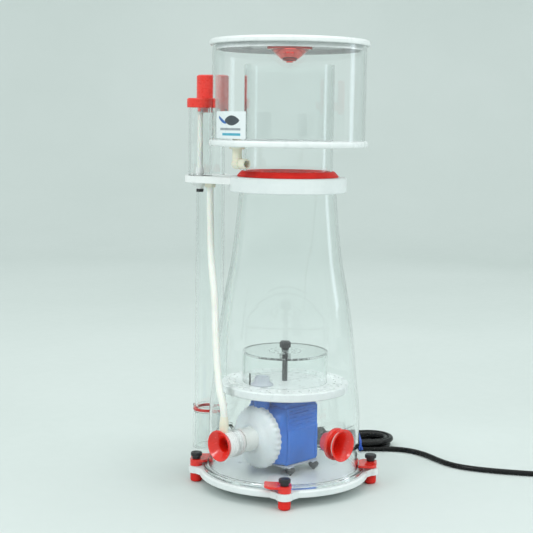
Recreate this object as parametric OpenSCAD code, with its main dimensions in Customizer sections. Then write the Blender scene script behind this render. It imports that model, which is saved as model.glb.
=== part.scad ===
// Protein skimmer: clear bottle-shaped reaction body on a clamped round base,
// needle-wheel pump inside, lift-off collection cup, standpipe outlet and air silencer.
// Z is the axis of the body, z = 0 is the floor under the feet. Millimetres.

/* [Base] */
// Radius of the round base plate
base_r = 110; // [108:0.5:112]
// Height of the feet under the plate
foot_h = 12.3; // [10:0.1:14]
// Thickness of the base plate
base_t = 8.7; // [8:0.1:9]
// Distance of each clamp screw from the body axis
lug_pos = 114; // [113:0.5:116]
// Radius of a foot
foot_r = 7.8; // [7:0.1:9]

/* [Body] */
// Outside radius of the body at its foot
body_r = 98; // [97:0.5:98]
// Wall of the clear body
body_wall = 3.5; // [3:0.25:4]
// Outside radius of the body's clear flange
flange_r = 104.5; // [103:0.5:105]
// Outside radius of the neck
neck_r = 62; // [61.5:0.25:62]
// Outside radius of the white collar
collar_r = 75; // [72:1:78]

/* [Cup] */
// Outside radius of the collection cup wall
cup_r = 97; // [94:0.5:97]
// Outside radius of the cup's round bottom plate
cup_plate_r = 101; // [99:0.5:101.5]
// Outside radius of the riser tube
riser_r = 57; // [56:0.5:57]
// Radius of the lid
lid_r = 101; // [100:0.5:102]
// Top of the lid above the floor
total_h = 570.5; // [569:0.5:572]

/* [Outlet and air] */
// Outside radius of the outlet standpipe
pipe_r = 19; // [18.5:0.25:19]
// Outside radius of the air silencer chamber
silencer_r = 15; // [14:0.5:16]
// Outside diameter of the silicone air hose
hose_d = 9; // [8:0.5:9.5]

/* [Pump] */
// Height of the pump axis
pump_z = 69; // [68:0.5:69.5]
// Radius of the needle wheel
wheel_r = 24; // [20:0.5:25]
// Rows of needles on the wheel
needle_rings = 2; // [1:1:3]

/* [Bubble plate] */
// Radius of the bubble plate
plate_r = 82.5; // [80:0.5:84]
// Outside radius of the diffuser cup
diffuser_r = 55; // [54:0.5:58]

/* [Cord] */
// Diameter of the mains lead
cord_d = 7; // [6.5:0.5:7]

/* [Hidden] */
$fn = 72;
base_z = foot_h;
base_top = base_z + base_t;
flange_z = base_top + 0.2;
flange_t = 5;
clamp_top = flange_z + flange_t + 3.4;
// all that stands on the base is drawn over a base top at 25.5 and moved by this much
deck_z = base_top - 25.5;
top_n = total_h - deck_z;
pz = pump_z - deck_z;
front_a = 225;
left_a = 135;
right_a = 315;
back_a = 45;
gland_a = 20;
gland_z = 44;
// outside profile of the body: radius, height
BODY = [[body_r, 25.7], [body_r, 60], [body_r, 92], [96.6, 115], [93.4, 140], [88.8, 190], [81.2, 244],
        [71.5, 295], [65.2, 347], [62.4, 380], [62, 404]];
PIPE_AT = [-21, 123];
SIL_AT = [-55.5, 105.4];
HOSE_AT = [-55, 86];
STUB_A = atan2(PIPE_AT[1], PIPE_AT[0]);
// route of the air hose, top to bottom
HOSE = [[-55, 86, 388], [-55, 86, 376], [-57, 83, 350], [-67.6, 69, 296], [-78, 51, 250],
        [-92, 32, 192], [-103, 14, 146], [-107, 2, 122], [-107, 0, pz + 36]];
// route of the mains lead from the strain relief to the hank
LEAD_IN = [[124, 45.2, 39.5], [131.2, 47.7, 37.6], [138.6, 49.9, 32], [147.8, 52, 23.5], [157.4, 51.7, 16],
           [167.3, 47.4, 11.8], [176.8, 40, 10.9]];
// route of the mains lead from the hank to the plug
LEAD_OUT = [[207.9, 8.9, 3.5], [216, 0.5, 3.5], [224, -9, 3.5], [230, -21, 3.5], [233, -36, 3.5], [232.5, -50, 3.5],
            [229, -66, 3.5], [223, -86, 3.5], [219.5, -104, 3.5], [220, -122, 3.5], [225, -140, 3.5], [233, -158, 3.5],
            [243, -176, 3.5], [255, -195, 3.5], [268, -214, 3.5], [281, -231, 3.8], [292, -245, 7], [300, -255, 12.5], [306, -263, 17]];
// tidy hank of lead: centre, direction, half length, half width, height
HANK = [196.6, 59.8];
HANK_A = -45;
HANK_L = 66;
HANK_W = 31.5;
HANK_H = 14.4;

// ---------- helpers ----------
function arc(c, r, a0, a1, n) = [for (i = [0:n]) c + r * [cos(a0 + (a1 - a0) * i / n), sin(a0 + (a1 - a0) * i / n)]];
function unit(v) = v / norm(v);
// moves what stands on the base to its height
module deck() translate([0, 0, deck_z]) children();
// point at t on a smooth curve through the points p
function cr(p, i, t) =
    let(a = p[max(i - 1, 0)], b = p[i], c = p[i + 1], d = p[min(i + 2, len(p) - 1)])
    0.5 * ((2 * b) + (c - a) * t + (2 * a - 5 * b + 4 * c - d) * t * t + (3 * b - a - 3 * c + d) * t * t * t);
function smooth(p, k) = concat([for (i = [0:len(p) - 2]) for (j = [0:k - 1]) cr(p, i, j / k)], [p[len(p) - 1]]);
function tangent(p, i) = unit(p[min(i + 1, len(p) - 1)] - p[max(i - 1, 0)]);
// closed tube of n sides along the points p
module sweep(p, r, n = 8) {
    m = len(p);
    up0 = abs(tangent(p, 0)[2]) > 0.8 ? [1, 0, 0] : [0, 0, 1];
    pts = [for (i = [0:m - 1])
            let(t = tangent(p, i), u = unit(cross(t, abs(t[2]) > 0.97 ? [1, 0.2, 0] : up0[2] == 1 ? [0, 0, 1] : [0.8, 0.6, 0])), v = cross(u, t))
            for (k = [0:n - 1]) p[i] + r * (u * cos(360 * (k + 0.5) / n) + v * sin(360 * (k + 0.5) / n))];
    faces = concat(
        [[for (k = [0:n - 1]) k]],
        [for (i = [0:m - 2]) for (k = [0:n - 1]) [i * n + k, (i + 1) * n + k, (i + 1) * n + (k + 1) % n]],
        [for (i = [0:m - 2]) for (k = [0:n - 1]) [i * n + k, (i + 1) * n + (k + 1) % n, i * n + (k + 1) % n]],
        [[for (k = [n - 1:-1:0]) (m - 1) * n + k]]);
    polyhedron(points = pts, faces = faces, convexity = 6);
}
module tube(ro, ri, h) difference() { cylinder(r = ro, h = h); translate([0, 0, -1]) cylinder(r = ri, h = h + 2); }
module ring(rmaj, rmin) rotate_extrude($fn = 96) translate([rmaj, 0]) circle(r = rmin, $fn = 24);
module at_lug(a) rotate([0, 0, a]) translate([lug_pos, 0, 0]) children();
module at_lugs() for (a = [left_a, front_a, right_a, back_a]) at_lug(a) children();
module along_x(x) translate([x, 0, pz]) rotate([0, 90, 0]) children();

// ---------- base ----------
module base_plate() color("white") difference() {
    union() {
        translate([0, 0, base_z]) rotate_extrude($fn = 120)
            polygon([[0, 0], [base_r - 1, 0], [base_r, 1], [base_r, base_t - 2], [base_r - 2, base_t], [0, base_t]]);
        at_lugs() translate([0, 0, base_z]) {
            cylinder(r = 10.2, h = base_t);
            linear_extrude(base_t) polygon([[-14, -26], [-6, -17.5], [1, -10.1], [1, 10.1], [-6, 17.5], [-14, 26]]);
        }
    }
    at_lugs() translate([0, 0, base_z - 1]) cylinder(r = 3.1, h = base_t + 2);
    // seat for the base gasket
    translate([0, 0, base_top - 1.6]) tube(103, 99, 3);
}
module feet() color("red") at_lugs() difference() {
    rotate_extrude($fn = 48) polygon([[0, 0], [foot_r - 2.2, 0], [foot_r - 0.7, 0.8], [foot_r, 2.4], [foot_r, foot_h - 0.8], [foot_r - 0.6, foot_h], [0, foot_h]]);
    translate([0, 0, 2.6]) cylinder(r = 3.08, h = foot_h);
}
module base_gasket() color("dimgray") translate([0, 0, base_top - 0.7]) ring(101, 0.88);

// ---------- clear body ----------
module body_shell() color("lightcyan", 0.4) deck() difference() {
    rotate_extrude($fn = 120) polygon(concat(
        smooth(BODY, 3),
        [for (i = [len(smooth(BODY, 3)) - 1:-1:0]) let(q = smooth(BODY, 3)[i]) [q[0] - body_wall, q[1]]]));
    // pump intake, side fitting, outlet and lead openings
    along_x(-body_r - 5) cylinder(r = 14.1, h = 15);
    translate([0, -body_r + 8, pz]) rotate([90, 0, 0]) cylinder(r = 15.95, h = 16);
    rotate([0, 0, STUB_A]) translate([body_r - 10, 0, 52]) rotate([0, 90, 0]) cylinder(r = 15.1, h = 14);
    rotate([0, 0, gland_a]) translate([body_r - 8, 0, gland_z]) rotate([0, 90, 0]) cylinder(r = 6.1, h = 12);
}
module body_flange() color("lightcyan", 0.4) translate([0, 0, flange_z]) difference() {
    rotate_extrude($fn = 120) polygon([[body_r + 0.02, 0], [flange_r, 0], [flange_r, flange_t - 0.8], [flange_r - 0.8, flange_t], [body_r + 0.02, flange_t]]);
}
module collar() color("white") deck() translate([0, 0, 385]) rotate_extrude($fn = 120)
    polygon([[neck_r + 0.4, 0], [collar_r - 1.2, 0], [collar_r, 1.2], [collar_r, 17.2], [collar_r - 1.8, 19], [neck_r + 0.06, 19], [neck_r + 0.06, 15], [neck_r + 0.4, 14]]);
module bracket_arm() color("white") deck() difference() {
    translate([0, 0, 394]) linear_extrude(8.5) polygon(concat(
        [[-62, 30], [-71, 52]], arc([-57.5, 87], 19.5, 205, 165, 4), arc([-56, 105], 19.5, 165, 118, 6),
        arc([-22, 123], 26.5, 110, -10, 14), [[-8, 60]]));
    translate([0, 0, 390]) cylinder(r = collar_r + 0.03, h = 16, $fn = 120);
    translate([PIPE_AT[0], PIPE_AT[1], 390]) cylinder(r = pipe_r + 0.1, h = 20);
    translate([SIL_AT[0], SIL_AT[1], 390]) cylinder(r = 4.8, h = 20);
    translate([HOSE_AT[0], HOSE_AT[1], 390]) cylinder(r = 4.6, h = 8);
}

// ---------- clamps and their screws ----------
module clamp() difference() {
    union() {
        translate([0, 0, base_top + 0.25]) cylinder(r = 8.2, h = clamp_top - base_top - 0.25);
        translate([0, 0, flange_z + flange_t + 0.3]) linear_extrude(clamp_top - flange_z - flange_t - 0.3)
            polygon(concat([[7.4, 1], [7.6, -10], [6, -18], [2.5, -23], [-2, -25], [-12.3, -25]],
                arc([-lug_pos, 0], body_r + 0.9, -14, 0.5, 6), [[-13.6, 4.6], [-9, 8.2], [0, 8.6]]));
    }
    translate([0, 0, base_top - 1]) cylinder(r = 3.08, h = 20);
}
module clamp_left() color("red") at_lug(left_a) clamp();
module clamp_front() color("red") at_lug(front_a) clamp();
module clamp_right() color("red") at_lug(right_a) clamp();
module clamp_back() color("red") at_lug(back_a) clamp();
module thumb_screw() union() {
    translate([0, 0, 3.2]) cylinder(r = 3, h = clamp_top - 2);
    translate([0, 0, clamp_top + 0.15]) difference() {
        rotate_extrude($fn = 48) polygon([[0, 0], [5, 0], [5.4, 0.6], [5.4, 3.4], [7.3, 4.2], [7.4, 7.8], [6.6, 8.6], [4, 8.9], [0, 8.9]]);
        for (i = [0:15]) rotate([0, 0, i * 22.5]) translate([7.75, 0, 4]) cylinder(r = 0.8, h = 8, $fn = 16);
    }
}
module screw_left() color("#222222") at_lug(left_a) thumb_screw();
module screw_front() color("#222222") at_lug(front_a) thumb_screw();
module screw_right() color("#222222") at_lug(right_a) thumb_screw();
module screw_back() color("#222222") at_lug(back_a) thumb_screw();

// ---------- cup ----------
module seal_ring() color("red") deck() translate([0, 0, 404.2]) rotate_extrude($fn = 120)
    polygon([[riser_r + 0.3, 0.3], [59, 0], [64.4, 0], [64.6, 1.1], [60.5, 5.6], [59, 7], [riser_r + 0.3, 7.2]]);
module cup_wall() color("lightcyan", 0.4) deck() translate([0, 0, 450]) tube(cup_r, cup_r - 3.5, top_n - 7.5 - 450);
module cup_plate() color("white") deck() difference() {
    translate([0, 0, 442]) rotate_extrude($fn = 120)
        polygon([[riser_r, 0], [cup_plate_r - 2.4, 0], [cup_plate_r - 0.6, 1.2], [cup_plate_r, 3], [cup_plate_r, 5.5], [cup_plate_r - 0.8, 7.3], [cup_plate_r - 2.2, 8], [riser_r, 8]]);
    translate([-80, 10, 440]) cylinder(r = 5.05, h = 12);
}
module riser_tube() color("lightcyan", 0.4) deck() translate([0, 0, 404.6]) tube(riser_r, riser_r - 3, 139.4);
module cup_label() color("white") deck() translate([0, 0, 452]) rotate([0, 0, 158]) rotate_extrude(angle = 34, $fn = 180)
    polygon([[cup_r + 0.02, 0], [cup_r + 0.42, 0], [cup_r + 0.42, 33], [cup_r + 0.02, 33]]);
module drain_elbow() color("ivory") deck() translate([-80, 10, 0]) difference() {
    union() {
        translate([0, 0, 421.5]) sphere(r = 7, $fn = 48);
        translate([0, 0, 421.5]) cylinder(r = 6, h = 18);
        translate([0, 0, 439]) cylinder(r = 9.5, h = 2.7);
        translate([0, 0, 441]) cylinder(r = 4.95, h = 11);
        translate([0, 0, 421.5]) rotate([90, 0, 0]) cylinder(r = 6.2, h = 17.5);
        // shoulder that a hose is pushed up to
        translate([0, 0, 421.5]) rotate([90, 0, 0]) cylinder(r = 7, h = 7);
    }
    translate([0, 0, 421.5]) cylinder(r = 3.6, h = 40);
    translate([0, 0, 421.5]) sphere(r = 3.6, $fn = 36);
    translate([0, 0.5, 421.5]) rotate([90, 0, 0]) cylinder(r = 4.4, h = 30);
}
module lid() color("white") deck() difference() {
    union() {
        translate([0, 0, top_n - 7.5]) rotate_extrude($fn = 120)
            polygon([[0, 0.3], [cup_r - 4, 0.3], [lid_r - 1, 0.3], [lid_r, 1.4], [lid_r, 4.6], [lid_r - 1.2, 6.6], [lid_r - 3, 7.5], [0, 7.5]]);
        translate([0, 0, top_n - 13]) tube(cup_r - 4, cup_r - 8, 6.5);
    }
    translate([0, 0, top_n - 20]) cylinder(r = 24, h = 30);
}
module lid_grip() color("firebrick") deck() translate([0, 0, top_n]) union() {
    rotate_extrude($fn = 96) polygon([[0, -28], [4.2, -28], [4.2, -26.2], [7.6, -26], [24, -12.4], [28.4, -11.6], [28.4, -7.2], [23.9, -7.2],
        [23.9, -0.6], [21.6, -0.6], [21.6, -10], [6, -10], [6, -6], [9.5, -5], [10, -2.4], [8, -0.8], [0, -0.5]]);
}

// ---------- outlet standpipe and air silencer ----------
module at_pipe() translate([PIPE_AT[0], PIPE_AT[1], 0]) children();
module at_sil() translate([SIL_AT[0], SIL_AT[1], 0]) children();
module standpipe() color("lightcyan", 0.4) deck() at_pipe() translate([0, 0, 33.7]) difference() {
    union() { cylinder(r = 18.6, h = 58); translate([0, 0, 55.8]) cylinder(r = pipe_r, h = 414); }
    translate([0, 0, -1]) cylinder(r = 15.6, h = 500);
    // port facing the body
    rotate([0, 0, STUB_A + 180]) translate([0, 0, 18.3]) rotate([0, 90, 0]) cylinder(r = 12, h = 22);
}
module standpipe_socket() color("lightcyan", 0.4) deck() at_pipe() difference() {
    translate([0, 0, 31.3]) cylinder(r = 21.4, h = 58);
    translate([0, 0, 33.6]) cylinder(r = 18.65, h = 70);
    translate([0, 0, 81]) cylinder(r = 20.4, h = 20);
    rotate([0, 0, STUB_A + 180]) translate([0, 0, 52]) rotate([0, 90, 0]) cylinder(r = 12, h = 30);
}
module outlet_stub() color("lightcyan", 0.4) deck() rotate([0, 0, STUB_A]) difference() {
    translate([body_r - 7, 0, 52]) rotate([0, 90, 0]) tube(15, 12, 20);
    translate([norm(PIPE_AT), 0, 20]) cylinder(r = 21.4, h = 80);
}
module socket_oring() color("red") deck() at_pipe() translate([0, 0, 83]) tube(20.4, 18.62, 3.4);
// castellated cap whose skirt lets the water out and sets the water level
module outlet_cap() color("red") deck() at_pipe() difference() {
    translate([0, 0, 484]) rotate_extrude($fn = 72) polygon([[0, 49], [pipe_r - 2, 49], [pipe_r + 0.2, 47.5], [pipe_r + 0.2, 20], [pipe_r + 0.2, 0],
        [pipe_r - 3.8, 0], [pipe_r - 3.8, 46], [0, 46]]);
    // room for the top of the pipe inside the skirt
    translate([0, 0, 480]) tube(pipe_r + 0.1, 15.5, 23.5 + 0.4);
    for (i = [0:7]) rotate([0, 0, i * 45 + 12]) translate([0, 0, 480]) translate([10, -3, 0]) cube([14, 6, 9]);
}
module silencer_chamber() color("lightcyan", 0.4) deck() at_sil() translate([0, 0, 402.5]) difference() {
    cylinder(r = silencer_r, h = 91.5);
    translate([0, 0, 3]) cylinder(r = silencer_r - 2.5, h = 100);
    translate([0, 0, -1]) cylinder(r = 4.8, h = 10);
}
module silencer_cap() color("red") deck() at_sil() translate([0, 0, 490]) difference() {
    rotate_extrude($fn = 72) polygon([[0, 4], [silencer_r, 4], [silencer_r, 0], [17, 0], [17.4, 0.6], [17.4, 10.4], [16, 12], [0, 12]]);
    translate([0, 0, 3]) cylinder(r = 4, h = 20);
}
module silencer_tube() color("whitesmoke", 0.6) deck() at_sil() translate([0, 0, 413]) tube(3.5, 2.5, 72);
module silencer_base() color("white") deck() at_sil() difference() {
    union() {
        translate([0, 0, 405.5]) cylinder(r = 5.2, h = 7.5);
        translate([0, 0, 388]) cylinder(r = 4.7, h = 24);
        translate([0, 0, 389]) cylinder(r = 11, h = 5, $fn = 12);
        translate([0, 0, 384.4]) cylinder(r = 4.6, h = 4.6);
    }
    translate([0, 0, 402]) cylinder(r = 2.6, h = 30);
}
module air_hose() color("antiquewhite") deck() sweep(smooth(HOSE, 4), hose_d / 2 / cos(180 / 10), 10);
module hose_connector() color("ivory") deck() difference() {
    union() {
        translate([-107, 0, pz + 16]) cylinder(r = 5.8, h = 12);
        translate([-107, 0, pz + 28]) cylinder(r1 = 5.8, r2 = 4.8, h = 8);
        translate([HOSE_AT[0], HOSE_AT[1], 388]) cylinder(r = 4.55, h = 9);
        translate([HOSE_AT[0], HOSE_AT[1], 388]) cylinder(r = 6.8, h = 6);
    }
    translate([-107, 0, pz]) cylinder(r = 2.4, h = 60);
    along_x(-130) cylinder(r = 17.05, h = 40);
}

// ---------- pump ----------
module motor_block() color("steelblue") deck() difference() {
    union() {
        translate([-29.5, -34, 38.2]) cube([57.5, 68, 74]);
        translate([-29.5, -30, 112]) cube([57.5, 60, 6]);
        along_x(-31.4) cylinder(r = 29.3, h = 2.2);
        translate([24, -20, 60]) cube([9, 40, 30]);
    }
    along_x(-60) cylinder(r = 14.5, h = 78);
    translate([26, 0, pz + 4]) rotate([0, 90, 0]) cylinder(r = 3.55, h = 20);
}
module pump_foot() color("gray") deck() difference() {
    translate([-33, -37, 33.4]) cube([64, 74, 4.8]);
    for (x = [-26, 24], y = [-30, 30]) translate([x, y, 30]) cylinder(r = 3, h = 12, $fn = 24);
    for (y = [-9, 9]) translate([-12, y - 3, 30]) cube([24, 6, 12]);
}
module suction_cups() color("#2a2a2a") deck() for (x = [-26, 24], y = [-30, 30]) translate([x, y, 0]) rotate_extrude($fn = 40)
    polygon([[0, 27.1], [3, 26.9], [8.5, 25.5], [9.6, 25.5], [9.4, 26.9], [6.4, 29], [4.6, 30.2], [4.6, 33.4], [2.9, 33.4], [2.9, 38], [0, 38]]);
module volute() color("whitesmoke") deck() difference() {
    union() {
        along_x(-55) cylinder(r = 33, h = 22.4);
        along_x(-60) cylinder(r = 17.4, h = 8);
        translate([-41, 0, pz + 20]) cylinder(r = 9.4, h = 94.2 - pz);
    }
    along_x(-52) cylinder(r = 29.5, h = 30);
    along_x(-62) cylinder(r = 12.4, h = 20);
    translate([-41, 0, pz + 20]) cylinder(r = 7, h = 30);
}
module lock_ring() color("silver") deck() difference() {
    union() {
        along_x(-51) difference() {
            cylinder(r = 40, h = 6.5);
            for (i = [0:11]) rotate([0, 0, i * 30]) translate([43.2, 0, -1]) cylinder(r = 7, h = 20, $fn = 36);
        }
        along_x(-45) cylinder(r = 35, h = 15.2);
    }
    along_x(-53) cylinder(r = 33.3, h = 30);
    // slot for the discharge pipe
    translate([-52, -13.5, pz + 24]) cube([24, 27, 30]);
}
module needle_wheel() color("ghostwhite") deck() difference() {
    union() {
        along_x(-36) cylinder(r = wheel_r, h = 2.4);
        along_x(-46) cylinder(r = 7, h = 12);
        for (k = [1:needle_rings]) for (i = [0:17]) along_x(-48) rotate([0, 0, i * 20 + k * 10])
            translate([wheel_r - 2.4 - 5 * (k - 1), 0, 0]) cylinder(r = 1, h = 13, $fn = 16);
    }
    along_x(-50) cylinder(r = 2.07, h = 30);
}
module rotor_magnet() color("dimgray") deck() along_x(-33.6) tube(12.8, 2.07, 48);
module pump_shaft() color("lightgray") deck() along_x(-54) cylinder(r = 2, h = 72);
module shaft_bushes() color("#303030") deck() {
    along_x(14.9) tube(6, 2, 3.1);
    along_x(-52) tube(4.2, 2, 4);
    along_x(-51) for (i = [0:2]) rotate([0, 0, i * 120 + 30]) translate([4, -1, 0]) cube([25.3, 2, 2.2]);
}
module intake_stub() color("whitesmoke", 0.7) deck() along_x(-81) tube(15, 12.4, 21);
module wall_ring() color("white") deck() difference() {
    union() {
        along_x(-110) cylinder(r = 14, h = 29);
        along_x(-110) cylinder(r = 17, h = 11.6);
        along_x(-92.8) cylinder(r = 16.6, h = 8.8);
    }
    along_x(-112) cylinder(r = 12.4, h = 40);
    translate([-107, 0, pz + 8]) cylinder(r = 2.4, h = 12);
}
module bell(r_throat, r_mouth, h) rotate_extrude($fn = 72) polygon(concat(
    [for (i = [0:8]) let(t = i / 8) [r_throat + (r_mouth - r_throat) * (1 - cos(90 * t)) , h * sin(90 * t) * 0.86 + h * 0.14 * t]],
    [[r_mouth + 1.2, h - 0.4], [r_mouth + 1.2, h - 1.8]],
    [for (i = [7:-1:0]) let(t = i / 8) [r_throat + 2.4 + (r_mouth - r_throat - 1.4) * (1 - cos(90 * t)), h * sin(90 * t) * 0.86 + h * 0.14 * t - 1.6 * t]]));
module intake_bell() color("red") deck() translate([-110, 0, pz]) rotate([0, -90, 0]) bell(11.6, 17.1, 6.6);
module discharge_nozzle() color("gray") deck() translate([-41, 0, 0]) difference() {
    union() {
        translate([0, 0, 114.2]) cylinder(r = 9.4, h = 26);
        translate([0, 0, 140.2]) rotate_extrude($fn = 60) polygon([[0, 0], [14.5, 0], [14.5, 2], [12, 3.4], [9.8, 6.4], [8.8, 11], [0, 11]]);
    }
    translate([0, 0, 110]) cylinder(r = 7, h = 60);
}

// ---------- side fitting ----------
module side_bell() color("red") deck() translate([0, 0, pz]) rotate([90, 0, 0]) rotate_extrude($fn = 96)
    polygon([[10.4, 74], [12.8, 74], [15.8, 86], [15.8, 99.4], [16.6, 100.4], [18.2, 101.6], [20.4, 102.3], [20.4, 103.5],
        [19.4, 103.5], [17, 102.4], [14.6, 100.6], [13.2, 98.4], [13.2, 86]]);
// sealing washer outside the wall and nut inside it
module side_fitting() color("whitesmoke") deck() translate([0, 0, pz]) rotate([90, 0, 0]) union() {
    translate([0, 0, 98.1]) tube(18.6, 15.9, 1.2);
    translate([0, 0, 87]) tube(20.5, 15.9, 4.9);
}

// ---------- bubble plate and diffuser ----------
module bubble_plate() color("white") deck() difference() {
    translate([0, 0, 129.5]) rotate_extrude($fn = 120) polygon([[0, 0], [plate_r - 1, 0], [plate_r, 1], [plate_r, 9.3], [plate_r - 1.2, 10.5], [0, 10.5]]);
    translate([-41, 0, 120]) cylinder(r = 9.6, h = 30);
    for (i = [0:35]) rotate([0, 0, i * 10]) translate([74, 0, 125]) cylinder(r = 2, h = 20, $fn = 20);
    for (i = [0:29]) rotate([0, 0, i * 12]) translate([65, 0, 125]) cylinder(r = 2, h = 20, $fn = 20);
    translate([0, 0, 133]) cylinder(r = 3.5, h = 20);
}
module diffuser_cup() color("lightcyan", 0.4) deck() difference() {
    translate([0, 0, 140.2]) union() {
        difference() {
            tube(diffuser_r, diffuser_r - 3, 36);
            translate([-41, 0, -1]) cylinder(r = 15.2, h = 16);
        }
        translate([0, 0, 36]) cylinder(r = diffuser_r, h = 3.2);
    }
    translate([0, 0, 170]) cylinder(r = 3.7, h = 30);
    for (i = [0:11]) rotate([0, 0, i * 30]) translate([13, 0, 170]) cylinder(r = 1.7, h = 20, $fn = 20);
    for (i = [0:17]) rotate([0, 0, i * 20]) translate([21, 0, 170]) cylinder(r = 1.7, h = 20, $fn = 20);
}
module diffuser_rod() color("#1c1c1c") deck() translate([0, 0, 133]) cylinder(r = 3.5, h = 54);
module diffuser_knob() color("#1c1c1c") deck() translate([0, 0, 179.7]) difference() {
    rotate_extrude($fn = 48) polygon([[0, 0], [4.6, 0], [5, 3.4], [7.2, 4.4], [7.2, 10], [6, 11.4], [0, 12]]);
    translate([0, 0, -1]) cylinder(r = 3.57, h = 9.2);
    for (i = [0:11]) rotate([0, 0, i * 30]) translate([7.8, 0, 3]) cylinder(r = 1, h = 10, $fn = 16);
}

// ---------- mains lead ----------
// inside the body, from the pump to the gland
module pump_lead() color("#1a1a1a") deck() sweep(smooth([[33, 0, pz + 4], [42, 0, pz + 4], [56, 3, 75], [67, 12, 67], [74, 22, 55], [81, 29.2, 46], [85.5, 31.1, 44], [92.3, 33.6, 44]], 2), cord_d / 2 / cos(22.5), 8);
module at_gland() rotate([0, 0, gland_a]) translate([0, 0, gland_z]) rotate([0, 90, 0]) children();
module cord_gland() color("#222222") deck() at_gland() difference() {
    union() {
        translate([0, 0, 92.6]) cylinder(r = 5.95, h = 10);
        translate([0, 0, 98.1]) cylinder(r = 9.6, h = 7, $fn = 12);
        translate([0, 0, 105.1]) cylinder(r1 = 7.2, r2 = 4.4, h = 26.8);
    }
    translate([0, 0, 80]) cylinder(r = cord_d / 2 + 0.5, h = 18.2);
    translate([0, 0, 131]) cylinder(r = 3.5, h = 5);
}
module cord_in() color("#1a1a1a") sweep(smooth(LEAD_IN, 2), cord_d / 2 / cos(22.5), 8);
module hank_shape(g) polygon(concat(arc([HANK_L - HANK_W, 0], HANK_W + g, -90, 90, 12), arc([-HANK_L + HANK_W, 0], HANK_W + g, 90, 270, 12)));
module cord_hank() color("#1a1a1a") translate([HANK[0], HANK[1], 0]) rotate([0, 0, HANK_A]) linear_extrude(HANK_H) hank_shape(0);
module hank_tie() color("royalblue") translate([HANK[0], HANK[1], 0]) rotate([0, 0, HANK_A]) difference() {
    translate([12, -HANK_W - 1.6, 0]) cube([8, 2 * HANK_W + 3.2, HANK_H + 1.6]);
    translate([11, -HANK_W, -1]) cube([10, 2 * HANK_W, HANK_H + 1]);
}
module cord_out() color("#1a1a1a") sweep(smooth(LEAD_OUT, 2), cord_d / 2 / cos(22.5), 8);
// plug lying on its side, pins towards +X -Y
module plug() color("#1a1a1a") translate([306, -263, 0]) rotate([0, 0, -53]) {
    translate([0, 0, 17]) rotate([0, 90, 0]) cylinder(r1 = 5.4, r2 = 8, h = 18);
    translate([18, 0, 17]) rotate([0, 90, 0]) cylinder(r1 = 14, r2 = 17, h = 12);
    translate([30, 0, 17]) rotate([0, 90, 0]) cylinder(r = 17, h = 10);
    for (y = [-9.5, 9.5]) translate([40, y, 17]) rotate([0, 90, 0]) cylinder(r = 2.4, h = 19, $fn = 24);
}

base_plate();
feet();
base_gasket();
body_shell();
body_flange();
collar();
bracket_arm();
clamp_left();
clamp_front();
clamp_right();
clamp_back();
screw_left();
screw_front();
screw_right();
screw_back();
seal_ring();
cup_wall();
cup_plate();
riser_tube();
cup_label();
drain_elbow();
lid();
lid_grip();
standpipe();
standpipe_socket();
outlet_stub();
socket_oring();
outlet_cap();
silencer_chamber();
silencer_cap();
silencer_tube();
silencer_base();
air_hose();
hose_connector();
motor_block();
pump_foot();
suction_cups();
volute();
lock_ring();
needle_wheel();
rotor_magnet();
pump_shaft();
shaft_bushes();
intake_stub();
wall_ring();
intake_bell();
discharge_nozzle();
side_bell();
side_fitting();
bubble_plate();
diffuser_cup();
diffuser_rod();
diffuser_knob();
pump_lead();
cord_gland();
cord_in();
cord_hank();
hank_tie();
cord_out();
plug();
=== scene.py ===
import math

import bmesh
import bpy
from mathutils import Matrix, Vector


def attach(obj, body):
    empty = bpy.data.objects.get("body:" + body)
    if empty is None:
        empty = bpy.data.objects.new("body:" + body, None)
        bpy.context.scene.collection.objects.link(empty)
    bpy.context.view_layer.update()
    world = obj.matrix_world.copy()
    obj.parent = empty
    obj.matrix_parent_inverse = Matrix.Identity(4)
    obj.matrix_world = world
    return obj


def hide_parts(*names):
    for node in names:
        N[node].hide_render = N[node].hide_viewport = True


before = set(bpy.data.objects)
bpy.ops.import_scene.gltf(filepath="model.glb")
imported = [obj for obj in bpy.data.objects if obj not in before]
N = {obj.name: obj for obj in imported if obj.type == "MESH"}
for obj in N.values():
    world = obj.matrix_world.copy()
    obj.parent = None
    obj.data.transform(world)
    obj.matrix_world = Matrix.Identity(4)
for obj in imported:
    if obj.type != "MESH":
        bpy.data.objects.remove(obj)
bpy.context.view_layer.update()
MM = 0.001

# ------------------------------------------------------------------ camera
PITCH = math.radians(6.917)
ROLL = math.radians(0.775)
EYE, DIST, LAT = 0.4695, 1.530, -0.0256
fwd = Vector((math.cos(PITCH) * 0.70710678, math.cos(PITCH) * 0.70710678, -math.sin(PITCH)))
right0 = Vector((0.70710678, -0.70710678, 0.0))
up0 = right0.cross(fwd)
right = right0 * math.cos(ROLL) + up0 * math.sin(ROLL)
up = up0 * math.cos(ROLL) - right0 * math.sin(ROLL)
cam_data = bpy.data.cameras.new("camera")
cam_data.lens = 81.05
cam_data.sensor_width = 36.0
cam_data.clip_start, cam_data.clip_end = 0.05, 60.0
cam = bpy.data.objects.new("camera", cam_data)
bpy.context.scene.collection.objects.link(cam)
place = Vector((-0.70710678 * DIST, -0.70710678 * DIST, EYE)) + right0 * LAT
m = Matrix.Identity(4)
for i in range(3):
    m[i][0], m[i][1], m[i][2], m[i][3] = right[i], up[i], -fwd[i], place[i]
cam.matrix_world = m
bpy.context.scene.camera = cam


# ------------------------------------------------------------------ mesh helpers
def link(ob):
    bpy.context.scene.collection.objects.link(ob)
    return ob


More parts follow.
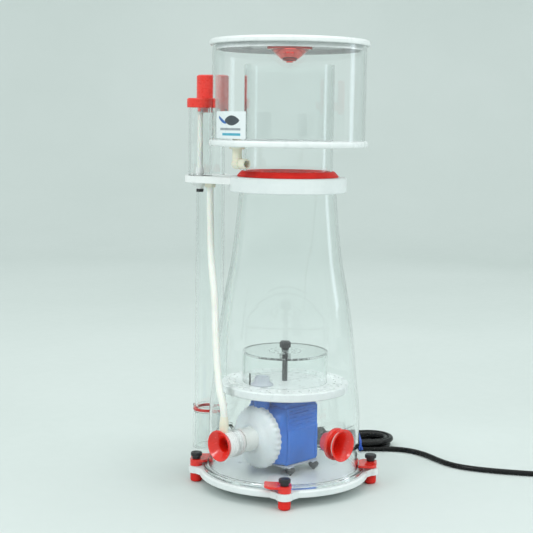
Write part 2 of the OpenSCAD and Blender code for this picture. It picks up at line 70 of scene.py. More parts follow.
def mesh_object(name, bm, smooth=True, angle=35.0):
    bmesh.ops.recalc_face_normals(bm, faces=bm.faces[:])
    me = bpy.data.meshes.new(name)
    bm.to_mesh(me)
    bm.free()
    ob = link(bpy.data.objects.new(name, me))
    if smooth:
        me.shade_smooth()
        me.set_sharp_from_angle(angle=math.radians(angle))
    return ob


def revolve(bm, profile, frame_matrix, n=72, closed=True, ripple=None):
    """Revolves (radius, height) points in mm about local Z. closed joins the last point to the first."""
    rings = []
    for r, h in profile:
        wave = [ripple[1] * math.cos(ripple[0] * 2 * math.pi * k / n) if ripple and r > ripple[2] else 0.0 for k in range(n)]
        if r < 1e-6:
            rings.append([bm.verts.new(frame_matrix @ Vector((0, 0, h * MM)))])
        else:
            rings.append([bm.verts.new(frame_matrix @ Vector(((r + wave[k]) * MM * math.cos(2 * math.pi * k / n), (r + wave[k]) * MM * math.sin(2 * math.pi * k / n), h * MM))) for k in range(n)])
    pairs = list(zip(rings[:-1], rings[1:])) + ([(rings[-1], rings[0])] if closed else [])
    for a, b in pairs:
        if len(a) == 1 and len(b) == 1:
            continue
        for k in range(n):
            k2 = (k + 1) % n
            if len(a) == 1:
                bm.faces.new((a[0], b[k], b[k2]))
            elif len(b) == 1:
                bm.faces.new((a[k], b[0], a[k2]))
            else:
                bm.faces.new((a[k], b[k], b[k2], a[k2]))


def axis_matrix(origin_mm, direction):
    d = Vector(direction).normalized()
    q = d.to_track_quat("Z", "Y").to_matrix().to_4x4()
    return Matrix.Translation(Vector(origin_mm) * MM) @ q


def rounded_box(bm, lo, hi, r=1.5, seg=3):
    """A box between two corners in mm, its edges rounded to radius r."""
    made = bmesh.ops.create_cube(bm, size=1.0)["verts"]
    lo, hi = Vector(lo) * MM, Vector(hi) * MM
    for v in made:
        v.co = Vector([lo[i] + (v.co[i] + 0.5) * (hi[i] - lo[i]) for i in range(3)])
    edges = list({e for v in made for e in v.link_edges})
    bmesh.ops.bevel(bm, geom=edges, offset=r * MM, segments=seg, profile=0.5, affect="EDGES")


def curve_object(name, pts_mm, radius_mm, res=10, bev=6):
    cu = bpy.data.curves.new(name, "CURVE")
    cu.dimensions = "3D"
    cu.resolution_u = res
    cu.bevel_depth = radius_mm * MM
    cu.bevel_resolution = bev
    cu.use_fill_caps = True
    sp = cu.splines.new("BEZIER")
    sp.bezier_points.add(len(pts_mm) - 1)
    for bp, p in zip(sp.bezier_points, pts_mm):
        bp.co = Vector(p) * MM
        bp.handle_left_type = bp.handle_right_type = "AUTO"
    return link(bpy.data.objects.new(name, cu))


# ------------------------------------------------------------------ materials
def base_material(name):
    mat = bpy.data.materials.new(name)
    mat.use_nodes = True
    nt = mat.node_tree
    return mat, nt, nt.nodes["Principled BSDF"]


def coords(nt):
    tc = nt.nodes.new("ShaderNodeTexCoord")
    return tc.outputs["Object"]


def noise(nt, co, scale, detail=3.0, rough=0.55, stretch=None):
    if stretch is not None:
        mp = nt.nodes.new("ShaderNodeMapping")
        mp.inputs["Scale"].default_value = stretch
        nt.links.new(co, mp.inputs["Vector"])
        co = mp.outputs["Vector"]
    n = nt.nodes.new("ShaderNodeTexNoise")
    n.inputs["Scale"].default_value = scale
    n.inputs["Detail"].default_value = detail
    n.inputs["Roughness"].default_value = rough
    nt.links.new(co, n.inputs["Vector"])
    return n.outputs["Fac"]


def ramp(nt, fac, stops):
    r = nt.nodes.new("ShaderNodeValToRGB")
    el = r.color_ramp.elements
    while len(el) > 1:
        el.remove(el[-1])
    el[0].position, el[0].color = stops[0][0], (*stops[0][1], 1.0)
    for pos, col in stops[1:]:
        e = el.new(pos)
        e.color = (*col, 1.0)
    nt.links.new(fac, r.inputs["Fac"])
    return r.outputs["Color"]


def to_range(nt, fac, lo, hi, a=0.3, b=0.7):
    r = nt.nodes.new("ShaderNodeMapRange")
    r.inputs["From Min"].default_value, r.inputs["From Max"].default_value = a, b
    r.inputs["To Min"].default_value, r.inputs["To Max"].default_value = lo, hi
    nt.links.new(fac, r.inputs["Value"])
    return r.outputs["Result"]


def bump(nt, fac, strength, distance, under=None):
    b = nt.nodes.new("ShaderNodeBump")
    b.inputs["Strength"].default_value = strength
    b.inputs["Distance"].default_value = distance
    nt.links.new(fac, b.inputs["Height"])
    if under is not None:
        nt.links.new(under, b.inputs["Normal"])
    return b.outputs["Normal"]


def shade(name, lo, hi, rough=(0.3, 0.45), patch=35.0, grain=900.0, grain_bump=0.12, wave=None, spots=None, **sockets):
    """A moulded or machined surface: slow colour drift, patchy gloss, fine grain and, for turned or drawn pieces, tool marks."""
    mat, nt, p = base_material(name)
    co = coords(nt)
    drift = noise(nt, co, patch, 4.0, 0.6)
    fine = noise(nt, co, patch * 9, 3.0, 0.6)
    mix = nt.nodes.new("ShaderNodeMath")
    mix.operation = "MULTIPLY_ADD"
    nt.links.new(fine, mix.inputs[0])
    mix.inputs[1].default_value = 0.35
    nt.links.new(drift, mix.inputs[2])
    nt.links.new(ramp(nt, mix.outputs[0], [(0.42, lo), (0.92, hi)]), p.inputs["Base Color"])
    nt.links.new(to_range(nt, noise(nt, co, patch * 4, 5.0, 0.65), *rough), p.inputs["Roughness"])
    n = bump(nt, noise(nt, co, grain, 2.0), grain_bump, 0.00012)
    if wave:
        w = nt.nodes.new("ShaderNodeTexWave")
        w.wave_type = wave[0]
        if wave[0] == "RINGS":
            w.rings_direction = wave[1]
        else:
            w.bands_direction = wave[1]
        w.inputs["Scale"].default_value = wave[2]
        w.inputs["Distortion"].default_value = 0.6
        w.inputs["Detail"].default_value = 2.0
        nt.links.new(co, w.inputs["Vector"])
        n = bump(nt, w.outputs["Fac"], wave[3], 0.00006, n)
    nt.links.new(n, p.inputs["Normal"])
    for key, value in sockets.items():
        p.inputs[key.replace("_", " ")].default_value = value
    return mat


def clear(name, tint, rough=(0.0, 0.035), ior=1.49, streak=(60, 60, 4), **sockets):
    """Polished clear plastic: faint haze patches and very fine polishing lines."""
    mat, nt, p = base_material(name)
    co = coords(nt)
    haze = noise(nt, co, 22.0, 5.0, 0.7)
    nt.links.new(to_range(nt, haze, *rough, a=0.45, b=0.8), p.inputs["Roughness"])
    nt.links.new(ramp(nt, noise(nt, co, 14.0, 3.0), [(0.3, tint), (0.75, tuple(min(1.0, c * 1.015) for c in tint))]), p.inputs["Base Color"])
    lines = noise(nt, co, 1.0, 3.0, 0.5, stretch=(streak[0], streak[1], streak[2]))
    nt.links.new(bump(nt, lines, 0.05, 0.00005), p.inputs["Normal"])
    p.inputs["Transmission Weight"].default_value = 1.0
    p.inputs["IOR"].default_value = ior
    for key, value in sockets.items():
        p.inputs[key.replace("_", " ")].default_value = value
    # lamp rays pass the clear wall, so that what stands inside is lit
    path = nt.nodes.new("ShaderNodeLightPath")
    through = nt.nodes.new("ShaderNodeBsdfTransparent")
    through.inputs["Color"].default_value = (*[c ** 0.5 for c in tint], 1.0)
    mixer = nt.nodes.new("ShaderNodeMixShader")
    nt.links.new(path.outputs["Is Shadow Ray"], mixer.inputs[0])
    nt.links.new(p.outputs[0], mixer.inputs[1])
    nt.links.new(through.outputs[0], mixer.inputs[2])
    nt.links.new(mixer.outputs[0], nt.nodes["Material Output"].inputs["Surface"])
    return mat


M = {
    "pvc_turned": shade("pvc_turned", (0.70, 0.745, 0.745), (0.80, 0.835, 0.83), (0.26, 0.42), 18, 700, 0.05, ("RINGS", "Z", 260, 0.10), Coat_Weight=0.15, Coat_Roughness=0.2),
    "pvc_plate": shade("pvc_plate", (0.74, 0.78, 0.775), (0.84, 0.865, 0.86), (0.22, 0.38), 14, 800, 0.04, ("RINGS", "Z", 180, 0.06), Coat_Weight=0.2, Coat_Roughness=0.15),
    "pvc_fine": shade("pvc_fine", (0.78, 0.80, 0.79), (0.86, 0.875, 0.865), (0.28, 0.42), 24, 900, 0.06),
    "red_gloss": shade("red_gloss", (0.66, 0.012, 0.006), (0.83, 0.022, 0.010), (0.16, 0.30), 45, 1100, 0.06, Coat_Weight=0.35, Coat_Roughness=0.12, IOR=1.5),
    "red_cap": shade("red_cap", (0.72, 0.020, 0.010), (0.90, 0.035, 0.018), (0.22, 0.36), 40, 900, 0.08, ("BANDS", "Z", 320, 0.08), Coat_Weight=0.2, Coat_Roughness=0.2),
    "red_rubber": shade("red_rubber", (0.62, 0.018, 0.014), (0.80, 0.030, 0.022), (0.42, 0.56), 60, 1400, 0.22, Specular_IOR_Level=0.18),
    "nylon_black": shade("nylon_black", (0.010, 0.011, 0.012), (0.026, 0.027, 0.029), (0.34, 0.5), 60, 1300, 0.25),
    "rubber_black": shade("rubber_black", (0.035, 0.037, 0.040), (0.075, 0.078, 0.082), (0.5, 0.68), 60, 1500, 0.3),
    "rubber_grey": shade("rubber_grey", (0.20, 0.21, 0.22), (0.30, 0.31, 0.32), (0.45, 0.6), 60, 1400, 0.2),
    "cable": shade("cable", (0.0015, 0.0015, 0.002), (0.005, 0.005, 0.0055), (0.22, 0.36), 70, 1600, 0.10, Specular_IOR_Level=0.28),
    "ivory": shade("ivory", (0.72, 0.69, 0.55), (0.83, 0.80, 0.68), (0.28, 0.42), 60, 1200, 0.08, Subsurface_Weight=0.15, Subsurface_Scale=0.004),
    "hose": shade("hose", (0.76, 0.77, 0.71), (0.86, 0.87, 0.82), (0.32, 0.48), 45, 1500, 0.10, ("BANDS", "Z", 40, 0.03), Subsurface_Weight=0.2, Subsurface_Scale=0.003),
    "pump_blue": shade("pump_blue", (0.006, 0.12, 0.56), (0.018, 0.19, 0.74), (0.30, 0.46), 26, 1500, 0.30, Coat_Weight=0.08, Coat_Roughness=0.3),
    "pump_grey": shade("pump_grey", (0.42, 0.44, 0.50), (0.55, 0.57, 0.62), (0.32, 0.5), 40, 1200, 0.14),
    "pump_white": shade("pump_white", (0.62, 0.66, 0.69), (0.76, 0.79, 0.81), (0.26, 0.42), 30, 1000, 0.08, Subsurface_Weight=0.08, Subsurface_Scale=0.004),
    "stub_white": shade("stub_white", (0.74, 0.75, 0.72), (0.82, 0.83, 0.80), (0.22, 0.36), 16, 1000, 0.05),
    "magnet": shade("magnet", (0.035, 0.036, 0.038), (0.07, 0.07, 0.075), (0.35, 0.5), 60, 1500, 0.2, ("BANDS", "Z", 300, 0.1)),
    "ceramic": shade("ceramic", (0.78, 0.77, 0.72), (0.88, 0.87, 0.84), (0.12, 0.22), 60, 1500, 0.03),
    "tie": shade("tie", (0.010, 0.055, 0.36), (0.022, 0.10, 0.52), (0.28, 0.42), 90, 1500, 0.15, ("BANDS", "DIAGONAL", 420, 0.2)),
    "film": shade("film", (0.74, 0.79, 0.80), (0.82, 0.86, 0.87), (0.25, 0.4), 25, 1600, 0.03, Coat_Weight=0.3, Coat_Roughness=0.1),
    "ink_dark": shade("ink_dark", (0.035, 0.045, 0.055), (0.07, 0.085, 0.10), (0.3, 0.45), 200, 2500, 0.05),
    "ink_blue": shade("ink_blue", (0.02, 0.10, 0.34), (0.04, 0.16, 0.46), (0.3, 0.45), 200, 2500, 0.05),
    "ink_grey": shade("ink_grey", (0.26, 0.29, 0.31), (0.36, 0.39, 0.41), (0.3, 0.45), 200, 2500, 0.05),
    "ink_cyan": shade("ink_cyan", (0.05, 0.33, 0.46), (0.10, 0.44, 0.58), (0.3, 0.45), 200, 2500, 0.05),
    "acrylic_body": clear("acrylic_body", (0.965, 0.985, 0.98)),
    "acrylic_cup": clear("acrylic_cup", (0.97, 0.985, 0.982)),
    "acrylic_tube": clear("acrylic_tube", (0.965, 0.98, 0.975), (0.0, 0.05)),
    "red_clear": clear("red_clear", (0.80, 0.115, 0.095), (0.03, 0.10), 1.49),
    "metal": shade("metal", (0.60, 0.58, 0.52), (0.74, 0.72, 0.66), (0.2, 0.34), 90, 1500, 0.06, Metallic=1.0),
}
ASSIGN = {
    "pvc_turned": ["base_plate", "collar"],
    "pvc_plate": ["cup_plate", "lid", "bubble_plate"],
    "pvc_fine": ["bracket_arm", "silencer_base"],
    "red_gloss": ["clamp_left", "clamp_front", "clamp_right", "clamp_back"],
    "red_cap": ["outlet_cap", "silencer_cap"],
    "red_rubber": ["feet", "seal_ring", "socket_oring"],
    "nylon_black": ["screw_left", "screw_front", "screw_right", "screw_back", "diffuser_rod", "diffuser_knob", "cord_gland"],
    "rubber_black": ["shaft_bushes"],
    "rubber_grey": ["base_gasket"],
    "ivory": ["drain_elbow", "hose_connector"],
    "hose": ["silencer_tube"],
    "pump_grey": ["pump_foot", "discharge_nozzle"],
    "pump_white": ["volute", "lock_ring", "needle_wheel", "side_fitting"],
    "stub_white": ["intake_stub"],
    "magnet": ["rotor_magnet"],
    "ceramic": ["pump_shaft"],
    "film": ["cup_label"],
    "acrylic_body": ["body_shell", "body_flange", "diffuser_cup"],
    "acrylic_cup": ["cup_wall", "riser_tube"],
    "acrylic_tube": ["standpipe", "standpipe_socket", "outlet_stub", "silencer_chamber"],
    "red_clear": ["lid_grip"],
}
for key, names in ASSIGN.items():
    for n in names:
        ob = N[n]
        ob.data.materials.clear()
        ob.data.materials.append(M[key])


def give(ob, mat, body="base"):
    ob.data.materials.clear()
    ob.data.materials.append(M[mat])
    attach(ob, body)
    return ob


# ------------------------------------------------------------------ cords
PZ = 69.0
HOSE = [(-55, 86, 383.5), (-55, 86, 371.5), (-57, 83, 345.5), (-67.6, 69, 291.5), (-78, 51, 245.5),
        (-92, 32, 187.5), (-103, 14, 141.5), (-107, 2, 117.5), (-107, 0, 105)]
LEAD_IN = [(124, 45.2, 39.5), (131.2, 47.7, 37.6), (138.6, 49.9, 32), (147.8, 52, 23.5), (157.4, 51.7, 16),
           (167.3, 47.4, 11.8), (176.8, 40, 10.9)]
LEAD_OUT = [(207.9, 8.9, 3.5), (216, 0.5, 3.5), (224, -9, 3.5), (230, -21, 3.5), (233, -36, 3.5), (232.5, -50, 3.5),
            (229, -66, 3.5), (223, -86, 3.5), (219.5, -104, 3.5), (220, -122, 3.5), (225, -140, 3.5), (233, -158, 3.5),
            (243, -176, 3.5), (255, -195, 3.5), (268, -214, 3.5), (281, -231, 3.8), (292, -245, 7), (300, -255, 12.5), (306, -263, 17)]
PUMP_LEAD = [(33, 0, 73), (42, 0, 73), (56, 3, 70.5), (67, 12, 62.5), (74, 22, 50.5), (81, 29.2, 42), (85.5, 31.1, 39.5), (92.3, 33.6, 39.5)]
HANK = (196.6, 59.8)


def hank_point(u, n, z):
    return (HANK[0] + 0.70710678 * (u + n), HANK[1] + 0.70710678 * (n - u), z)


def hank_route():
    s, ro, ri, top, low = 34.5, 28.0, 21.0, 11.0, 3.7
    pts = [(14, -ro, top), (s, -ro, top + 0.4)]

    def arc(side, r0, r1, z0, z1):
        for k in range(1, 7):
            a = math.radians(-90 + 30 * k) if side > 0 else math.radians(90 + 30 * k)
            r = r0 + (r1 - r0) * k / 6
            pts.append((side * s + r * math.cos(a), r * math.sin(a), z0 + (z1 - z0) * k / 6))

    arc(1, ro, ro, top + 1.0, top + 1.8)
    pts.extend([(11.5, ro, top + 0.8), (-11.5, ro, top), (-s, ro, top)])
    pts.pop()
    pts.append((-s, ro, top))
    arc(-1, ro, ri, top, top)
    pts.extend([(-11.5, -ri, top), (11.5, -ri, top), (s, -ri, top + 0.6)])
    arc(1, ri, ri, top + 0.8, top + 0.8)
    pts.extend([(11.5, ri, 9.2), (-11.5, ri, 5.6), (-s, ri, low)])
    arc(-1, ri, ri, low, low)
    pts.extend([(-11.5, -ri, low), (11.5, -ri, low), (s, -ri, low)])
    arc(1, ri, ro, low, low)
    pts.extend([(11.5, ro, low), (-11.5, ro, low), (-s, ro, low)])
    arc(-1, ro, ro, low, low)
    pts.extend([(-11.5, -ro, low), (11.5, -ro, 3.6), (28, -ro, 3.5)])
    return [hank_point(*p) for p in pts]


def dense(pts, k=4):
    out = []
    for i in range(len(pts) - 1):
        a = Vector(pts[max(i - 1, 0)])
        b, c = Vector(pts[i]), Vector(pts[i + 1])
        d = Vector(pts[min(i + 2, len(pts) - 1)])
        for j in range(k):
            t = j / k
            out.append(tuple(0.5 * ((2 * b) + (c - a) * t + (2 * a - 5 * b + 4 * c - d) * t * t + (3 * b - a - 3 * c + d) * t ** 3)))
    out.append(tuple(pts[-1]))
    return out


hose_pts = dense(HOSE, 3)
hose = give(curve_object("air_hose_line", hose_pts, 4.5), "hose")
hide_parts("air_hose")
lead_pts = dense(LEAD_IN, 2) + hank_route() + LEAD_OUT
lead = give(curve_object("mains_lead", lead_pts, 3.5, res=8), "cable")
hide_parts("cord_in", "cord_hank", "cord_out")
inner = give(curve_object("pump_lead_line", dense(PUMP_LEAD, 2), 3.45), "cable")
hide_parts("pump_lead")

# tie round the hank: a flat ribbon with a twisted end
bm = bmesh.new()
tie_ring = []
corner = 5.0
w, lo_z, hi_z = 32.6, 0.35, 15.6
path = []
for cx, cz, a0 in ((w - corner, lo_z + corner, -90), (w - corner, hi_z - corner, 0), (-(w - corner), hi_z - corner, 90), (-(w - corner), lo_z + corner, 180)):
    for k in range(5):
        a = math.radians(a0 + 22.5 * k)
        path.append((cx + corner * math.cos(a), cz + corner * math.sin(a), math.cos(a), math.sin(a)))
for n_, z_, nx, nz in path:
    ring = []
    for du, dt in ((-2.6, -0.45), (-2.0, 0.35), (0.0, 0.55), (2.0, 0.35), (2.6, -0.45), (0.0, -0.6)):
        ring.append(bm.verts.new(Vector(hank_point(16 + du * 0.7, n_ + nx * dt, z_ + nz * dt)) * MM))
    tie_ring.append(ring)
for a, b in zip(tie_ring, tie_ring[1:] + tie_ring[:1]):
    for k in range(6):
        bm.faces.new((a[k], b[k], b[(k + 1) % 6], a[(k + 1) % 6]))
for side in (-1, 1):
    tail = [(16 + side * (1.2 + 0.5 * t), -32.6 - 0.6 * t - (0.4 if t % 2 else 0), 8.0 - 1.5 * t) for t in range(4)]
    rings = []
    for i, (u_, n_, z_) in enumerate(tail):
        rings.append([bm.verts.new(Vector(hank_point(u_ + 1.3 * math.cos(math.radians(60 * k + 25 * i)), n_ - 0.6 + 0.5 * math.sin(math.radians(60 * k + 25 * i)), z_)) * MM) for k in range(6)])
    for a, b in zip(rings[:-1], rings[1:]):
        for k in range(6):
            bm.faces.new((a[k], b[k], b[(k + 1) % 6], a[(k + 1) % 6]))
    bm.faces.new(rings[0])
    bm.faces.new(list(reversed(rings[-1])))
tie = give(mesh_object("hank_tie_ribbon", bm), "tie")
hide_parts("hank_tie")

# plug: waisted grip with ribs, front disc and two round pins
bm = bmesh.new()
P = axis_matrix((306, -263, 17), (math.cos(math.radians(-53)), math.sin(math.radians(-53)), 0))
grip = [(0, 0), (4.6, 0), (5.2, 0.8)]
for k in range(5):
    z0 = 2.0 + 3.0 * k
    grip += [(5.3 + 0.45 * k, z0), (5.3 + 0.45 * k, z0 + 1.4), (4.8 + 0.45 * k, z0 + 1.8), (4.8 + 0.45 * k, z0 + 2.6)]
grip += [(8.4, 18), (12.6, 20), (14.4, 23), (16.2, 28), (17, 31), (17, 38.6), (16.2, 39.8), (12.4, 40), (11.6, 39.2), (0, 39.2)]
revolve(bm, grip, P, 64, closed=False)
plug = give(mesh_object("plug_body", bm), "cable")
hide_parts("plug")
bm = bmesh.new()
for y in (-9.5, 9.5):
    Q = P @ Matrix.Translation(Vector((0, y * MM, 0)))
    revolve(bm, [(0, 38.8), (2.4, 38.8), (2.4, 56.6), (1.9, 58.2), (0, 59)], Q, 28, closed=False)
pins = give(mesh_object("plug_pins", bm), "metal")

# ------------------------------------------------------------------ pump pieces
# resin block with rounded edges, side ribs, a recessed panel and a lid step
bm = bmesh.new()
rounded_box(bm, (-29.5, -34, 33.7), (28, 34, 107.7), 2.2)
rounded_box(bm, (-29.0, -30.5, 106.0), (27.5, 30.5, 113.5), 1.6)
for z in (84.5, 89.3, 94.1, 98.9, 103.0):
    for side in (-1, 1):
        y0, y1 = (side * 33.2, side * 35.3)
        rounded_box(bm, (-25.5, min(y0, y1), z - 1.0), (25.0, max(y0, y1), z + 1.1), 0.7, 2)
for side in (-1, 1):
    y0, y1 = (side * 33.4, side * 34.7)
    rounded_box(bm, (22.6, min(y0, y1), 37), (27.2, max(y0, y1), 80), 0.6, 2)
    rounded_box(bm, (-28.6, min(y0, y1), 37), (-24.2, max(y0, y1), 80), 0.6, 2)
    rounded_box(bm, (-24.6, min(y0, y1), 77.2), (23.0, max(y0, y1), 80), 0.6, 2)
rounded_box(bm, (24, -18, 57), (33, 18, 84), 1.8)
revolve(bm, [(14.6, 0), (28.4, 0), (29.3, 0.8), (29.3, 3.0), (14.6, 3.0)], axis_matrix((-31.4, 0, PZ), (1, 0, 0)), 80)
block = give(mesh_object("motor_block_casting", bm), "pump_blue")
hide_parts("motor_block")

# scalloped front cover with one cast slot; the slot is a thin black strip on the face, painted shade standing in for
# the slot's recess
bm = bmesh.new()
revolve(bm, [(17.5, -0.2), (18.8, -0.2), (22, 1.6), (28, 3.6), (33.4, 4.8), (36, 7.0), (38.7, 8.7), (39.5, 9.8), (39.5, 14.8), (38.8, 15.5), (34.1, 15.5), (34.1, 6.6), (33.2, 5.4), (17.5, 5.4)],
        axis_matrix((-60, 0, PZ), (1, 0, 0)), 256, ripple=(32, 0.75, 38.2))
cover = give(mesh_object("front_cover", bm), "pump_white", "lock_ring")
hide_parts("lock_ring")
# painted shade: a thin black strip stands in for the shade inside the cast slot
bm = bmesh.new()
quads = []
for k in range(15):
    b = math.radians(76 + 2 * k)
    quads.append([bm.verts.new(Vector((x, r * math.cos(b), PZ + r * math.sin(b))) * MM) for r, x in ((34.4, -54.35), (36.9, -52.1), (36.9, -51.2), (34.4, -53.4))])
for a_, b_ in zip(quads[:-1], quads[1:]):
    for k in range(4):
        bm.faces.new((a_[k], b_[k], b_[(k + 1) % 4], a_[(k + 1) % 4]))
bm.faces.new(quads[0])
bm.faces.new(list(reversed(quads[-1])))
give(mesh_object("front_cover_slot_shade", bm), "rubber_black", "lock_ring")

# fairing from the round cover to the square block, and the neck above it
bm = bmesh.new()
rings = []
for i in range(9):
    t = i / 8
    e = 2 + 9 * t * t
    ring = []
    for k in range(96):
        c, q = math.cos(2 * math.pi * k / 96), math.sin(2 * math.pi * k / 96)
        y = (33.4 + 0.5 * t) * math.copysign(abs(c) ** (2 / e), c)
        z = PZ + 1.7 * t + (33.4 + 3.4 * t) * math.copysign(abs(q) ** (2 / e), q)
        ring.append(bm.verts.new(Vector((-44.3 + 14.6 * t, y, z)) * MM))
    rings.append(ring)
for a_, b_ in zip(rings[:-1], rings[1:]):
    for k in range(96):
        bm.faces.new((a_[k], b_[k], b_[(k + 1) % 96], a_[(k + 1) % 96]))
bm.faces.new(rings[0])
bm.faces.new(list(reversed(rings[-1])))
give(mesh_object("block_fairing", bm), "pump_blue")
bm = bmesh.new()
revolve(bm, [(9.5, 100), (10.3, 100), (10.3, 124.2), (9.9, 124.8), (9.5, 124.8)], axis_matrix((-41, 0, 0), (0, 0, 1)), 64)
give(mesh_object("discharge_neck", bm), "pump_blue")
bm = bmesh.new()
revolve(bm, [(6.4, 109.7), (9.4, 109.7), (9.4, 135.75), (14.4, 135.75), (14.5, 136.8), (13.4, 138.0), (10.8, 139.4), (9.7, 141.0), (9.5, 146.1), (9.2, 146.7), (8.4, 146.7), (7.9, 146.0), (7.6, 139), (6.4, 125)],
        axis_matrix((-41, 0, 0), (0, 0, 1)), 72)
nozzle = give(mesh_object("discharge_collar", bm), "pump_grey")
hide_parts("discharge_nozzle")

# foot: a thin plate with four arms
bm = bmesh.new()
rounded_box(bm, (-31, -33.5, 30.4), (29.5, 33.5, 33.65), 1.2)
for x in (-24, 20):
    for side in (-1, 1):
        y0, y1 = side * 30.0, side * 38.5
        rounded_box(bm, (x - 5, min(y0, y1), 30.6), (x + 5, max(y0, y1), 33.3), 1.1)
foot = give(mesh_object("pump_foot_plate", bm), "pump_grey")
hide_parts("pump_foot")

# ribbed ring through the wall
bm = bmesh.new()
prof = [(12.45, 0), (16.7, 0), (17.2, 0.5)]
for k in range(8):
    z0 = 0.9 + 3.0 * k
    prof += [(17.2, z0), (17.2, z0 + 1.9), (16.6, z0 + 2.2), (16.6, z0 + 2.7)]
prof += [(16.4, 26.0), (14.0, 26.1), (14.0, 28.6), (13.6, 29), (12.45, 29)]
revolve(bm, prof, axis_matrix((-110, 0, PZ), (1, 0, 0)), 80)
wall = give(mesh_object("wall_ring_ribbed", bm), "pvc_fine")
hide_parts("wall_ring")

# red inlet funnel
bm = bmesh.new()
prof = [(7.9, 16), (7.9, 3.6), (8.6, 2.0), (10.4, 0.2), (13.2, -2.2), (15.8, -4.4), (17.4, -5.8), (18.5, -6.5), (19.4, -6.2), (19.6, -5.2), (18.9, -3.9), (17.4, -2.0), (16.4, -0.05), (12.3, -0.05), (12.3, 4), (9.8, 9), (9.0, 16)]
revolve(bm, prof, axis_matrix((-110, 0, PZ), (1, 0, 0)), 96)
bell = give(mesh_object("intake_funnel", bm), "red_gloss")
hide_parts("intake_bell")

# red side cup
bm = bmesh.new()
prof = [(7.4, 74), (7.4, 80), (8.4, 86), (10.2, 91.5), (13.0, 97), (15.4, 100.4), (17.6, 102.4), (19.2, 103.4), (20.2, 103.3), (20.5, 102.6), (20.0, 101.9), (18.2, 101.2), (16.7, 100.2), (15.85, 99.2), (15.8, 97), (15.8, 86), (15.2, 84.6), (12.8, 75.0), (12.2, 74)]
revolve(bm, prof, axis_matrix((0, 0, PZ), (0, -1, 0)), 96)
fit_bm = bmesh.new()
revolve(fit_bm, [(15.9, 87), (19.6, 87), (20.3, 87.8), (20.3, 91.2), (19.6, 91.9), (17.0, 92.4), (16.8, 98.0), (18.3, 98.2), (18.5, 98.8), (15.9, 98.8)], axis_matrix((0, 0, PZ), (0, -1, 0)), 80)
fit = give(mesh_object("side_fitting_red", fit_bm), "red_gloss")
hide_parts("side_fitting")
fit_bm = bmesh.new()
revolve(fit_bm, [(15.95, 98.85), (18.0, 98.85), (18.2, 99.2), (18.0, 99.6), (15.95, 99.6)], axis_matrix((0, 0, PZ), (0, -1, 0)), 80)
give(mesh_object("side_ring_white", fit_bm), "pvc_fine")
sbell = give(mesh_object("side_funnel", bm), "red_gloss")
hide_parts("side_bell")

# rubber bumpers under the pump
bm = bmesh.new()
for x in (-24, 20):
    for y in (-35, 35):
        revolve(bm, [(0, 21.05), (1.6, 21.1), (2.2, 22.4), (4.6, 24.4), (6.2, 26.4), (6.7, 28.0), (6.3, 29.6), (5.0, 31.2), (3.2, 32.2), (2.7, 33.0), (0, 33.2)], axis_matrix((x, y, 0), (0, 0, 1)), 40, closed=False)
cups = give(mesh_object("rubber_bumpers", bm), "rubber_black")
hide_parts("suction_cups")

# black collar under the silencer: painted shade, a dark band standing in for the shade just under the bracket
bm = bmesh.new()
prof = [(2.6, 376.6), (4.2, 376.6), (4.75, 377.2), (4.75, 380.6), (4.2, 381.2), (2.6, 381.2)]
revolve(bm, prof, axis_matrix((-55.5, 105.4, 0), (0, 0, 1)), 40)
shade_band = give(mesh_object("silencer_shade_band", bm), "nylon_black")

# ------------------------------------------------------------------ label marks
CUP_R = 97.0


def patch(bm, ang0, ang1, z0, z1, r, n=10, shape=None):
    """A thin curved patch on the cup wall. shape(t) gives the low and high edge as shares of the height."""
    rows = []
    for k in range(n + 1):
        t = k / n
        a = math.radians(ang0 + (ang1 - ang0) * t)
        lo_, hi_ = shape(t) if shape else (0.0, 1.0)
        rows.append([bm.verts.new(Vector((rr * math.cos(a), rr * math.sin(a), z0 + (z1 - z0) * f)) * MM) for rr, f in ((r, lo_), (r, hi_), (r - 0.25, hi_), (r - 0.25, lo_))])
    for a, b in zip(rows[:-1], rows[1:]):
        for k in range(4):
            bm.faces.new((a[k], b[k], b[(k + 1) % 4], a[(k + 1) % 4]))
    bm.faces.new(rows[0])
    bm.faces.new(list(reversed(rows[-1])))


R0 = CUP_R + 0.62
bm = bmesh.new()
patch(bm, 186.5, 171.0, 463.5, 475.5, R0, 24, lambda t: (0.5 - 0.5 * math.sin(math.pi * t) ** 0.7, 0.5 + 0.5 * math.sin(math.pi * t) ** 0.7))
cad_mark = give(mesh_object("label_mark_oval", bm, False), "ink_dark", "cup")
bm = bmesh.new()
patch(bm, 172.5, 163.0, 463.5, 476.0, R0 + 0.12, 20, lambda t: (0.15 + 0.55 * t * t, 0.30 + 0.62 * t))
give(mesh_object("label_mark_sweep", bm, False), "ink_blue", "cup")
bm = bmesh.new()
patch(bm, 187.5, 165.0, 457.6, 460.4, R0, 20)
give(mesh_object("label_bar_grey", bm, False), "ink_grey", "cup")
bm = bmesh.new()
patch(bm, 187.5, 168.0, 451.2, 454.2, R0, 20)
give(mesh_object("label_bar_cyan", bm, False), "ink_cyan", "cup")

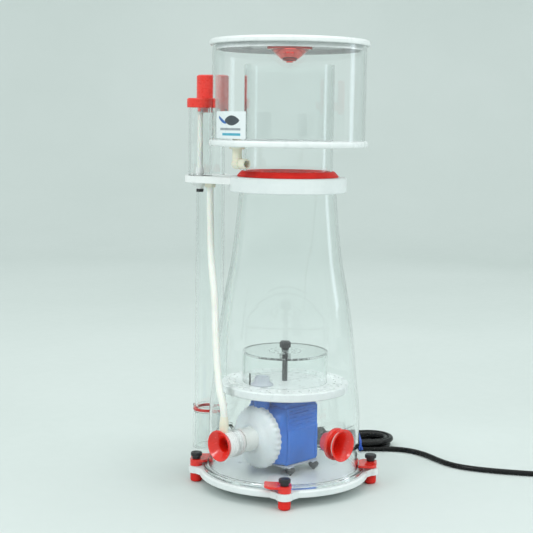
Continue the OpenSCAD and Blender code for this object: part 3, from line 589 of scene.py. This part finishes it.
# ------------------------------------------------------------------ stage
bm = bmesh.new()
across, near_, far_ = 9.0, -3.4, 2.6
rows = []
section = [(near_, 0.0), (far_, 0.0)]
for k in range(1, 13):
    a = math.radians(7.5 * k)
    section.append((far_ + 1.6 * math.sin(a), 1.6 * (1 - math.cos(a))))
section.append((far_ + 1.6, 6.5))
back = Vector((0.70710678, 0.70710678, 0))
for d_, z_ in section:
    rows.append([bm.verts.new(back * d_ + right0 * s_ * across + Vector((0, 0, z_ - 0.0002))) for s_ in (-1, 1)])
for a, b in zip(rows[:-1], rows[1:]):
    bm.faces.new((a[0], b[0], b[1], a[1]))
floor = mesh_object("floor", bm, True, 60)
floor_mat, nt, p = base_material("floor_paper")
co = coords(nt)
nt.links.new(ramp(nt, noise(nt, co, 1.2, 3.0), [(0.3, (0.60, 0.655, 0.635)), (0.8, (0.655, 0.705, 0.69))]), p.inputs["Base Color"])
nt.links.new(to_range(nt, noise(nt, co, 40.0, 4.0), 0.55, 0.7), p.inputs["Roughness"])
nt.links.new(bump(nt, noise(nt, co, 500.0, 2.0), 0.05, 0.0002), p.inputs["Normal"])
floor.data.materials.append(floor_mat)


def area(name, loc, target, size, power, colour, size_y=None):
    li = bpy.data.lights.new(name, "AREA")
    li.energy = power
    li.color = colour
    li.shape = "RECTANGLE"
    li.size = size
    li.size_y = size_y or size
    ob = link(bpy.data.objects.new(name, li))
    ob.location = loc
    ob.rotation_mode = "QUATERNION"
    ob.rotation_quaternion = (Vector(target) - Vector(loc)).to_track_quat("-Z", "Y")
    return ob


def at(side, depth, z):
    """A place given photo-right, away from the camera, and height, in metres."""
    return right0 * side + back * depth + Vector((0, 0, z))


area("top", at(0.1, 0.2, 2.9), (0, 0, 0.2), 3.8, 32, (1.0, 0.995, 0.985))
area("front_left", at(-2.1, -2.0, 2.1), (0, 0, 0.3), 0.9, 26, (0.95, 0.98, 1.0), 0.9)
area("front_right", at(2.2, -1.8, 2.0), (0, 0, 0.3), 0.8, 18, (0.96, 0.985, 1.0), 0.8)
area("window", at(1.9, 0.5, 0.9), (0, 0, 0.3), 0.35, 2.2, (0.80, 0.90, 1.0), 1.3)
world = bpy.data.worlds.new("studio")
world.use_nodes = True
world.node_tree.nodes["Background"].inputs["Color"].default_value = (0.70, 0.76, 0.75, 1)
world.node_tree.nodes["Background"].inputs["Strength"].default_value = 1.16
bpy.context.scene.world = world
bpy.context.scene.view_settings.view_transform = "Standard"
